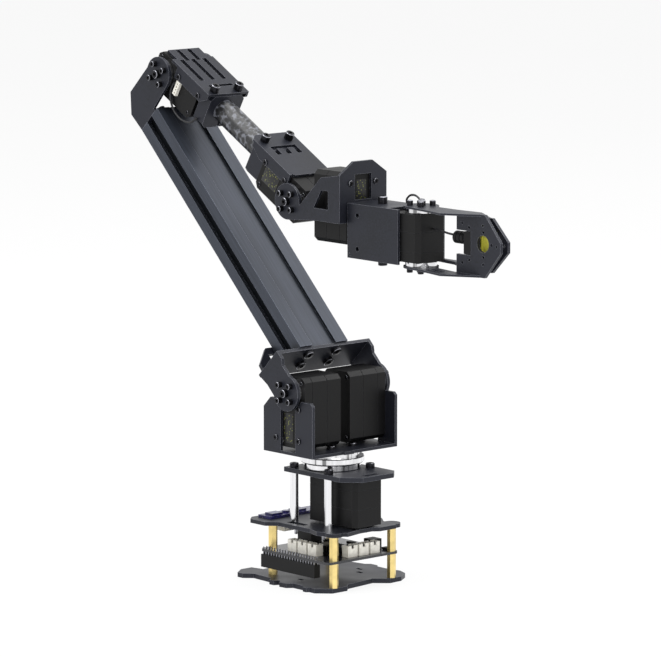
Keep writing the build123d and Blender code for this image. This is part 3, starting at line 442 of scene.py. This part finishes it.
def board_lacquer():
    """Circuit board with black solder resist, its tracks just raised under the lacquer."""
    material, tree, shader, place = start_material("black solder resist", {
        "Roughness": 0.3, "IOR": 1.5, "Coat Weight": 0.3})
    tracks = add_node(tree, "ShaderNodeTexBrick", {
        "Vector": place, "Scale": 1 / (8 * MM), "Mortar Size": 0.06,
        "Color1": linear("#17181d"), "Color2": linear("#1b1c22"), "Mortar": linear("#26272c")})
    relief = add_node(tree, "ShaderNodeBump", {
        "Height": tracks.outputs["Fac"], "Strength": 0.1, "Distance": 0.05 * MM})
    set_inputs(tree, shader, {
        "Base Color": tracks.outputs["Color"], "Normal": relief.outputs["Normal"]})
    return material


def switch_board_lacquer():
    """The small switch board: violet blue solder resist, with pale specks where solder shows."""
    material, tree, shader, place = start_material("violet solder resist", {
        "Roughness": 0.3, "IOR": 1.5, "Coat Weight": 0.3})
    patch = add_node(tree, "ShaderNodeTexNoise", {
        "Vector": place, "Scale": 1 / (5 * MM), "Detail": 2.0})
    tone = add_node(tree, "ShaderNodeValToRGB", {"Fac": patch.outputs["Fac"]}, stops=(
        (0.35, "#1d1a45"), (0.65, "#2c2866")))
    specks = add_node(tree, "ShaderNodeTexVoronoi", {"Vector": place, "Scale": 1 / (3.2 * MM)})
    spot = add_node(tree, "ShaderNodeMapRange", {
        "Value": specks.outputs["Distance"], "From Min": 0.16, "From Max": 0.12,
        "To Min": 0.0, "To Max": 1.0})
    mixed = add_node(tree, "ShaderNodeMixRGB", {
        "Fac": spot.outputs[0], "Color1": tone.outputs["Color"], "Color2": linear("#b9b8cc")})
    set_inputs(tree, shader, {"Base Color": mixed.outputs["Color"]})
    return material


# Which finish each node takes
NODE_FINISH = {
    "sheet": (
        "base_plate", "mid_plate", "top_plate", "turret_bracket", "shoulder_yoke",
        "elbow_bracket", "elbow_cover", "wrist_cover", "rear_tube_clamp", "front_tube_clamp",
        "wrist_yoke", "hand_frame", "fixed_jaw", "moving_jaw",
    ),
    "brass": ("lower_standoffs", "upper_standoffs"),
    "bright": (
        "support_posts", "bearing_base_ring", "bearing_turn_ring", "yaw_horn", "shoulder_horns",
        "elbow_horns", "wrist_horns", "roll_horn", "gripper_horns",
    ),
    "case": (
        "yaw_servo", "right_shoulder_servo", "left_shoulder_servo", "elbow_servo",
        "wrist_servo", "roll_servo", "gripper_servo", "header_socket", "board_modules",
        "work_lamp",
    ),
    "oxide": (
        "post_nuts", "post_screws", "elbow_cover_screws", "wrist_cover_screws", "hand_screws",
        "turret_screws", "shoulder_horn_screws", "yoke_screws", "elbow_screws",
        "elbow_horn_screws", "flange_screws", "wrist_horn_screws", "roll_servo_screws",
        "jaw_screws",
    ),
    "rubber": ("elbow_lead", "lamp_lead", "hand_lead"),
    "board": ("driver_board",),
    "switch": ("switch_board",),
    "plug": ("board_connectors", "power_connector", "elbow_plug"),
    "profile": ("arm_profile",),
    "carbon": ("carbon_tube",),
}

# The materials by name, once the finishes are made
FINISH = {}


class ROBOTARM_OT_finishes(bpy.types.Operator):
    """Make the finishes and give one to each piece of the frame"""
    bl_idname = "robot_arm.finishes"
    bl_label = "Finishes"

    def execute(self, context):
        colours = context.scene.robot_arm_finishes
        FINISH.update({
            "sheet": black_anodised_sheet(colours.sheet),
            "brass": turned_brass(colours.brass),
            "bright": turned_aluminium(colours.bright),
            "case": moulded_case(colours.case),
            "rim": bright_steel_and_rim_highlight(),
            "rubber": lead_rubber(),
            "pad": grip_rubber(colours.pad),
            "film": label_film(),
            "oxide": black_oxide_steel(),
            "board": board_lacquer(),
            "switch": switch_board_lacquer(),
            "plug": nylon_plug(colours.plug),
            "profile": anodised_profile(colours.profile),
            "carbon": carbon_tube_finish(),
        })
        for finish, nodes in NODE_FINISH.items():
            for name in nodes:
                for slot in frame["nodes"][name].material_slots:
                    slot.material = FINISH[finish]
        return {"FINISHED"}


# Modelling
def start_edit(piece):
    """Selects one piece alone and opens it in edit mode."""
    bpy.ops.object.select_all(action="DESELECT")
    piece.select_set(True)
    bpy.context.view_layer.objects.active = piece
    bpy.ops.object.mode_set(mode="EDIT")


def facing(axis, least=0.9):
    """A test for the faces that look along an axis."""
    return lambda face: face.normal.dot(axis) > least


def pick_faces(piece, test):
    """In edit mode, selects the faces that pass a test, and only those."""
    mesh = bmesh.from_edit_mesh(piece.data)
    for part in (*mesh.verts, *mesh.edges, *mesh.faces):
        part.select = False
    for face in mesh.faces:
        if test(face):
            face.select_set(True)
    mesh.select_flush_mode()
    bmesh.update_edit_mesh(piece.data)


def soften_rim(piece, axis, width):
    """In edit mode, bevels the rim of the face that looks along an axis."""
    pick_faces(piece, facing(axis))
    bpy.ops.mesh.bevel(offset=width, segments=2, affect="EDGES")


def step_face(piece, axis, margin, move):
    """In edit mode, insets the face that looks along an axis and extrudes it."""
    pick_faces(piece, facing(axis))
    bpy.ops.mesh.inset(thickness=margin)
    bpy.ops.mesh.extrude_region_move(TRANSFORM_OT_translate={"value": move})


def close_edit(piece, smooth=30.0):
    """Recalculates the normals, leaves edit mode and smooths the gentle edges."""
    bpy.ops.mesh.select_all(action="SELECT")
    bpy.ops.mesh.normals_make_consistent(inside=False)
    bpy.ops.object.mode_set(mode="OBJECT")
    bpy.ops.object.shade_smooth_by_angle(angle=math.radians(smooth))


def start_primitive(name, kind, **settings):
    """Adds a primitive with everything else deselected, its place and size in its mesh."""
    bpy.ops.object.select_all(action="DESELECT")
    getattr(bpy.ops.mesh, "primitive_" + kind + "_add")(**settings)
    bpy.ops.object.transform_apply(location=True, rotation=True, scale=True)
    piece = bpy.context.object
    piece.name = name
    return piece


def turn_to(seat, axis, along=None):
    """The matrix that stands a shape with its foot at the origin on a seat, along an axis."""
    axis = axis.normalized()
    if along:
        first = (along - axis * along.dot(axis)).normalized()
    else:
        first = axis.orthogonal().normalized()
    turn = Matrix((first, axis.cross(first), axis)).transposed().to_4x4()
    return Matrix.Translation(seat) @ turn


def copy_of(master, matrix):
    """A copy of a shape with its own mesh, moved in the mesh."""
    piece = master.copy()
    piece.data = master.data.copy()
    bpy.context.scene.collection.objects.link(piece)
    piece.data.transform(matrix)
    return piece


def join_as(name, pieces, body):
    """Joins copies into one piece that rides on a body."""
    bpy.ops.object.select_all(action="DESELECT")
    for piece in pieces:
        piece.select_set(True)
    bpy.context.view_layer.objects.active = pieces[0]
    if len(pieces) > 1:
        bpy.ops.object.join()
    piece = bpy.context.object
    piece.name = name
    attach(piece, body)
    return piece


def islands(node):
    """The separate solids of a frame node, each as the list of its corners."""
    mesh = bmesh.new()
    mesh.from_mesh(frame["nodes"][node].data)
    bmesh.ops.remove_doubles(mesh, verts=mesh.verts, dist=0.001 * MM)
    found, seen = [], set()
    for start in mesh.verts:
        if start in seen:
            continue
        seen.add(start)
        stack, corners = [start], []
        while stack:
            vert = stack.pop()
            corners.append(vert.co.copy())
            for edge in vert.link_edges:
                other = edge.other_vert(vert)
                if other not in seen:
                    seen.add(other)
                    stack.append(other)
        found.append(corners)
    mesh.free()
    return found


def shape_head(radius, height):
    """A screw head standing on the ground plane: rounded over, with a hexagon socket."""
    head = start_primitive("head", "cylinder", vertices=HEAD_SIDES, radius=radius,
                           depth=height, location=(0, 0, height / 2))
    head.data.materials.append(FINISH["oxide"])
    head.data.materials.append(FINISH["rim"])
    start_edit(head)
    pick_faces(head, facing(UP))
    bpy.ops.mesh.bevel(offset=min(HEAD_ROUND * radius, HEAD_ROUND_HEIGHT * height),
                       segments=3, profile=0.6, affect="EDGES")
    pick_faces(head, facing(UP, 0.99))
    mesh = bmesh.from_edit_mesh(head.data)
    outer = max(vert.co.xy.length for face in mesh.faces if face.select for vert in face.verts)
    socket = SOCKET_SHARE * radius
    bpy.ops.mesh.inset(thickness=outer - socket)
    # The round inset becomes a hexagon: each corner moves to the nearest flat
    mesh = bmesh.from_edit_mesh(head.data)
    flat, half = math.radians(60), math.radians(30)
    for vert in {vert for face in mesh.faces if face.select for vert in face.verts}:
        angle = math.atan2(vert.co.y, vert.co.x) % flat - half
        vert.co.xy = vert.co.xy.normalized() * socket * math.cos(half) / math.cos(angle)
    bmesh.update_edit_mesh(head.data)
    bpy.ops.mesh.extrude_region_move(
        TRANSFORM_OT_translate={"value": (0, 0, -SOCKET_DEPTH_HEIGHT * height)})
    # The rounded rim's faces take the bright steel, as a painted highlight
    mesh = bmesh.from_edit_mesh(head.data)
    for face in mesh.faces:
        across = face.calc_center_median().xy.length
        face.material_index = int(0.15 < face.normal.z < 0.97 and across > RIM_SHARE * radius)
    bmesh.update_edit_mesh(head.data)
    close_edit(head)
    return head


# The frame's screws and the bodies that they are on
SCREWS = (
    ("shoulder_horn_screws", "upper_arm"), ("elbow_horn_screws", "upper_arm"),
    ("elbow_screws", "upper_arm"), ("yoke_screws", "upper_arm"),
    ("elbow_cover_screws", "forearm"), ("wrist_cover_screws", "forearm"),
    ("flange_screws", "forearm"), ("wrist_horn_screws", "wrist"),
    ("roll_servo_screws", "wrist"), ("post_screws", "root"), ("hand_screws", "hand"),
    ("jaw_screws", "jaw"), ("turret_screws", "turret"),
)
# Those that stand taller than the frame's heads
TALL_SCREWS = ("shoulder_horn_screws", "elbow_horn_screws", "wrist_horn_screws", "jaw_screws")
# A point inside each body, which its screws' heads face away from
HUBS = {
    "root": Vector((0, 0, 0)),
    "turret": SHOULDER - UP * 60 * MM,
    "upper_arm": SHOULDER + ARM * 60 * MM,
    "forearm": (ELBOW + WRIST) / 2 - FOREARM_UP * 5 * MM,
    "wrist": WRIST,
    "hand": Vector((GRIPPER.x, 0, GRIPPER.z)),
    "jaw": GRIPPER,
}


def thin_axis(corners):
    """The axis along which a head is a prism: its two end faces hold all its corners."""
    best = None
    for axis in (LEFT, UP, AHEAD, ARM, ARM_FRONT, FOREARM, FOREARM_UP):
        reach = [corner.dot(axis) for corner in corners]
        low, high = min(reach), max(reach)
        near = sum(min(value - low, high - value) for value in reach)
        if best is None or near < best[0] - 1e-6:
            best = (near, axis, low, high)
    return best[1:]


class ROBOTARM_OT_screws(bpy.types.Operator):
    """Model the screw heads with their sockets, over the frame's plain heads"""
    bl_idname = "robot_arm.screws"
    bl_label = "Screw heads"

    def execute(self, context):
        sizes = context.scene.robot_arm_sizes
        masters = {}
        for node, body in SCREWS:
            pieces = []
            for corners in islands(node):
                axis, low, high = thin_axis(corners)
                centre = sum(corners, Vector()) / len(corners)
                if (centre - HUBS[body]).dot(axis) < 0:
                    axis, low, high = -axis, -high, -low
                foot = centre + axis * (low - centre.dot(axis))
                offsets = [corner - foot for corner in corners]
                radius = max((offset - axis * offset.dot(axis)).length for offset in offsets)
                height = high - low + (sizes.horn_screw if node in TALL_SCREWS else 0)
                key = (round(radius / MM, 1), round(height / MM, 1))
                if key not in masters:
                    masters[key] = shape_head(radius, height)
                pieces.append(copy_of(masters[key], turn_to(foot, axis)))
            piece = join_as(node.replace("_screws", "_heads"), pieces, body)
            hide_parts(node)
        for master in masters.values():
            bpy.data.objects.remove(master)
        return {"FINISHED"}


# Each servo: its body, its shaft's place, the way of its long end and its shaft's way
YAW_SERVO_LEVEL = sum(corner.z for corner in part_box("yaw_servo")) / 2
SERVOS = (
    ("yaw_servo", "root", UP * YAW_SERVO_LEVEL, AHEAD, UP),
    ("right_shoulder_servo", "turret", SHOULDER - LEFT * 19 * MM, -UP, -LEFT),
    ("left_shoulder_servo", "turret", SHOULDER + LEFT * 19 * MM, -UP, LEFT),
    ("elbow_servo", "forearm", ELBOW, FOREARM, LEFT),
    ("wrist_servo", "forearm", WRIST, -FOREARM, LEFT),
    ("roll_servo", "wrist", ROLL - AHEAD * SERVO_CASE / 2 * MM, UP, AHEAD),
    ("gripper_servo", "hand", GRIPPER, -AHEAD, UP),
)
# Each film: its body, its centre, the way it faces, the way of its length, its length and height
FILMS = (
    ("shoulder_film", "turret", SHOULDER + Vector((-3, -34, -23)) * MM, -LEFT, AHEAD, 8.4, 19.0),
    ("wrist_film", "forearm", WRIST - LEFT * 15 * MM - FOREARM * 24 * MM, -LEFT, FOREARM,
     15.0, 11.0),
    ("roll_film", "wrist", Vector((ROLL.x, 0, ROLL.z + 24.5 * MM)), AHEAD, LEFT, 8.4, 12.0),
)


class ROBOTARM_OT_servo_trim(bpy.types.Operator):
    """Model the screws in the corners of each servo case, and the films on its faces"""
    bl_idname = "robot_arm.servo_trim"
    bl_label = "Servo trim"

    def execute(self, context):
        sizes = context.scene.robot_arm_sizes
        head = shape_head(sizes.case_screw, CASE_SCREW_HEIGHT * MM)
        lengths = (CASE_SCREW_EDGE - SERVO_INSET, SERVO_LENGTH - SERVO_INSET - CASE_SCREW_EDGE)
        widths = (CASE_SCREW_EDGE - SERVO_WIDTH / 2, SERVO_WIDTH / 2 - CASE_SCREW_EDGE)
        for name, body, shaft, way, axis in SERVOS:
            across = axis.cross(way)
            pieces = []
            for side, along, over in product((-1, 1), lengths, widths):
                seat = shaft + (way * along + across * over + axis * side * SERVO_CASE / 2) * MM
                pieces.append(copy_of(head, turn_to(seat, axis * side)))
            join_as(name + "_case_screws", pieces, body)
        bpy.data.objects.remove(head)
        for name, body, centre, facing_way, way, length, height in FILMS:
            film = start_primitive(
                name, "cube", size=1, location=(0, 0, FILM_THICKNESS / 2 * MM),
                scale=(length * MM, height * MM, FILM_THICKNESS * MM))
            start_edit(film)
            soften_rim(film, UP, FILM_EDGE * MM)
            close_edit(film)
            film.data.transform(turn_to(centre, facing_way, way))
            film.data.materials.append(FINISH["film"])
            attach(film, body)
        return {"FINISHED"}


class ROBOTARM_OT_grip_pad(bpy.types.Operator):
    """Model the rubber pad on the fixed jaw's plate"""
    bl_idname = "robot_arm.grip_pad"
    bl_label = "Grip pad"

    def execute(self, context):
        sizes = context.scene.robot_arm_sizes
        _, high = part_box("fixed_jaw")
        pad = start_primitive(
            "grip_pad", "cube", size=1, scale=(PAD_LENGTH * MM, sizes.grip_pad, PAD_HEIGHT * MM),
            location=(high.x - PAD_BEHIND_TIP * MM, PAD_PLATE * MM - sizes.grip_pad / 2,
                      GRIPPER.z + PAD_RAISE * MM))
        start_edit(pad)
        soften_rim(pad, -LEFT, PAD_EDGE * MM)
        step_face(pad, -LEFT, PAD_RIM * MM, (0, PAD_DISH * MM, 0))
        close_edit(pad)
        pad.data.materials.append(FINISH["pad"])
        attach(pad, "hand")
        return {"FINISHED"}


class ROBOTARM_OT_board_parts(bpy.types.Operator):
    """Model the chips on the driver board and the contact pins in its sockets"""
    bl_idname = "robot_arm.board_parts"
    bl_label = "Board parts"

    def execute(self, context):
        sizes = context.scene.robot_arm_sizes
        _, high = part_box("driver_board")
        top = high.z
        chip = start_primitive(
            "chip", "cube", size=1, location=(0, 0, CHIP_LEVEL * MM), scale=CHIP_SIZE * MM)
        start_edit(chip)
        soften_rim(chip, UP, CHIP_EDGE * MM)
        step_face(chip, -UP, CHIP_FOOT_INSET * MM, (0, 0, -CHIP_FOOT * MM))
        close_edit(chip)
        chip.data.materials.append(FINISH["case"])
        pieces = [copy_of(chip, Matrix.Translation(Vector((x * MM, y * MM, top))))
                  for x, y in CHIP_PLACES]
        join_as("board_chips", pieces, "root")
        bpy.data.objects.remove(chip)

        width = sizes.contact_pin
        pin = start_primitive("pin", "cube", size=1, location=(0, 0, PIN_HEIGHT / 2 * MM),
                              scale=(width, width, PIN_HEIGHT * MM))
        start_edit(pin)
        pick_faces(pin, facing(UP))
        bpy.ops.mesh.inset(thickness=PIN_TIP_INSET * MM)
        bpy.ops.transform.translate(value=(0, 0, PIN_TIP * MM))
        close_edit(pin)
        pin.data.materials.append(FINISH["rim"])
        places = []
        for corners in islands("board_connectors"):
            xs, ys = [c.x for c in corners], [c.y for c in corners]
            centre = Vector((
                (min(xs) + max(xs)) / 2, (min(ys) + max(ys)) / 2, top + PLUG_PIN_LEVEL * MM))
            way = AHEAD if max(xs) - min(xs) > max(ys) - min(ys) else LEFT
            places += [centre + way * step * PLUG_PIN_PITCH * MM for step in (-1, 0, 1)]
        low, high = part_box("header_socket")
        pitch = HEADER_PITCH * MM
        for n, side in product(range(int((high.x - low.x) / pitch)), (-0.5, 0.5)):
            places.append(Vector((
                low.x + pitch * (n + 0.5), (low.y + high.y) / 2 + pitch * side,
                top + HEADER_PIN_LEVEL * MM)))
        pieces = [copy_of(pin, Matrix.Translation(place)) for place in places]
        join_as("contact_pins", pieces, "root")
        bpy.data.objects.remove(pin)
        return {"FINISHED"}


class ROBOTARM_OT_hanging_screws(bpy.types.Operator):
    """Model the screws that hang from the middle plate"""
    bl_idname = "robot_arm.hanging_screws"
    bl_label = "Hanging screws"

    def execute(self, context):
        low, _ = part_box("mid_plate")
        shank = start_primitive(
            "shank", "cylinder", vertices=SHANK_SIDES, radius=SHANK_RADIUS * MM,
            depth=SHANK_LENGTH * MM, location=(0, 0, SHANK_LENGTH / 2 * MM))
        start_edit(shank)
        soften_rim(shank, UP, SHANK_EDGE * MM)
        close_edit(shank)
        shank.data.materials.append(FINISH["rim"])
        pieces = [copy_of(shank, turn_to(Vector((x * MM, y * MM, low.z)), -UP))
                  for x, y in SHANK_PLACES]
        join_as("hanging_screws", pieces, "root")
        bpy.data.objects.remove(shank)
        return {"FINISHED"}


def seen_by(tree, *rays):
    """One where a light path is of one of these kinds, and nought elsewhere."""
    path = add_node(tree, "ShaderNodeLightPath")
    seen = path.outputs[rays[0]]
    for ray in rays[1:]:
        seen = add_node(tree, "ShaderNodeMath", {
            0: seen, 1: path.outputs[ray]}, operation="MAXIMUM").outputs[0]
    return seen


class ROBOTARM_OT_studio(bpy.types.Operator):
    """Set the pale floor, the soft lights and the camera"""
    bl_idname = "robot_arm.studio"
    bl_label = "Studio"

    def execute(self, context):
        scene = context.scene
        scene.view_settings.view_transform = "Standard"

        # Floor: white to the camera, but for its shadow
        bpy.ops.object.select_all(action="DESELECT")
        bpy.ops.mesh.primitive_plane_add(size=FLOOR_SIZE, location=(0, 0, -FLOOR_DROP))
        floor = context.object
        floor.name = "studio_floor"
        material, tree, shader, place = start_material(
            "matt studio floor", {"Roughness": 0.9, "IOR": 1.45})
        patch = add_node(tree, "ShaderNodeTexNoise", {"Vector": place, "Scale": 2.0})
        tone = add_node(tree, "ShaderNodeValToRGB", {"Fac": patch.outputs["Fac"]}, stops=(
            (0.3, "#f4f4f4"), (0.7, "#f8f8f8")))
        set_inputs(tree, shader, {"Base Color": tone.outputs["Color"]})
        white = add_node(tree, "ShaderNodeEmission", {"Color": (1, 1, 1, 1), "Strength": 1.0})
        share = add_node(tree, "ShaderNodeMath", {
            0: seen_by(tree, "Is Camera Ray", "Is Glossy Ray"), 1: 0.86}, operation="MULTIPLY")
        paper = add_node(tree, "ShaderNodeMixShader", {
            0: share.outputs[0], 1: shader.outputs["BSDF"], 2: white.outputs["Emission"]})
        set_inputs(tree, tree.nodes["Material Output"], {"Surface": paper.outputs[0]})
        floor.data.materials.append(material)

        # Air: white where it is seen, and dimmer as a light
        world = bpy.data.worlds.new("studio air")
        scene.world = world
        world.use_nodes = True
        tree = world.node_tree
        level = add_node(tree, "ShaderNodeMapRange", {
            "Value": seen_by(tree, "Is Camera Ray", "Is Glossy Ray", "Is Transmission Ray"),
            "From Min": 0.0, "From Max": 1.0, "To Min": 0.55, "To Max": 1.0})
        set_inputs(tree, tree.nodes["Background"], {
            "Color": (1, 1, 1, 1), "Strength": level.outputs[0]})

        for name, place, size, power in LAMPS:
            data = bpy.data.lights.new(name + " softbox", "AREA")
            data.size = size
            data.energy = power
            lamp = bpy.data.objects.new(name + "_softbox", data)
            lamp.location = place
            aim = LAMP_AIM - Vector(place)
            lamp.rotation_euler = aim.to_track_quat("-Z", "Y").to_euler()
            scene.collection.objects.link(lamp)

        azimuth, elevation = math.radians(PHOTO_AZIMUTH), math.radians(PHOTO_ELEVATION)
        back = Vector((
            math.sin(azimuth) * math.cos(elevation), -math.cos(azimuth) * math.cos(elevation),
            math.sin(elevation)))
        right = Vector((math.cos(azimuth), math.sin(azimuth), 0))
        up = back.cross(right)
        data = bpy.data.cameras.new("photo camera")
        data.sensor_fit = "HORIZONTAL"
        data.sensor_width = SENSOR_WIDTH
        data.lens = PHOTO_FOCAL / PHOTO_WIDTH * SENSOR_WIDTH
        data.clip_end = 30
        camera = bpy.data.objects.new("photo_camera", data)
        place = back * PHOTO_DISTANCE + right * PHOTO_ACROSS + up * PHOTO_ABOVE
        turn = Matrix((right, up, back)).transposed().to_4x4()
        camera.matrix_world = Matrix.Translation(place) @ turn
        scene.collection.objects.link(camera)
        scene.camera = camera
        return {"FINISHED"}


OPERATORS = (
    ROBOTARM_OT_finishes,
    ROBOTARM_OT_screws,
    ROBOTARM_OT_servo_trim,
    ROBOTARM_OT_grip_pad,
    ROBOTARM_OT_board_parts,
    ROBOTARM_OT_hanging_screws,
    ROBOTARM_OT_studio,
)


class ROBOTARM_PT_sidebar(bpy.types.Panel):
    """Lists the steps that dress the arm"""
    bl_label = "Robot Arm"
    bl_idname = "ROBOTARM_PT_sidebar"
    bl_space_type = "VIEW_3D"
    bl_region_type = "UI"
    bl_category = "Robot Arm"

    def draw(self, context):
        for group in (context.scene.robot_arm_sizes, context.scene.robot_arm_finishes):
            for name in group.__annotations__:
                self.layout.prop(group, name)
        for operator in OPERATORS:
            self.layout.operator(operator.bl_idname)


CLASSES = (RobotArmSizes, RobotArmFinishes, *OPERATORS, ROBOTARM_PT_sidebar)


def register():
    for cls in CLASSES:
        bpy.utils.register_class(cls)
    bpy.types.Scene.robot_arm_sizes = PointerProperty(type=RobotArmSizes)
    bpy.types.Scene.robot_arm_finishes = PointerProperty(type=RobotArmFinishes)


def unregister():
    del bpy.types.Scene.robot_arm_finishes
    del bpy.types.Scene.robot_arm_sizes
    for cls in reversed(CLASSES):
        bpy.utils.unregister_class(cls)


def main():
    """Runs each step in order."""
    register()
    for operator in OPERATORS:
        group, name = operator.bl_idname.split(".")
        getattr(getattr(bpy.ops, group), name)()


if __name__ == "__main__":
    main()
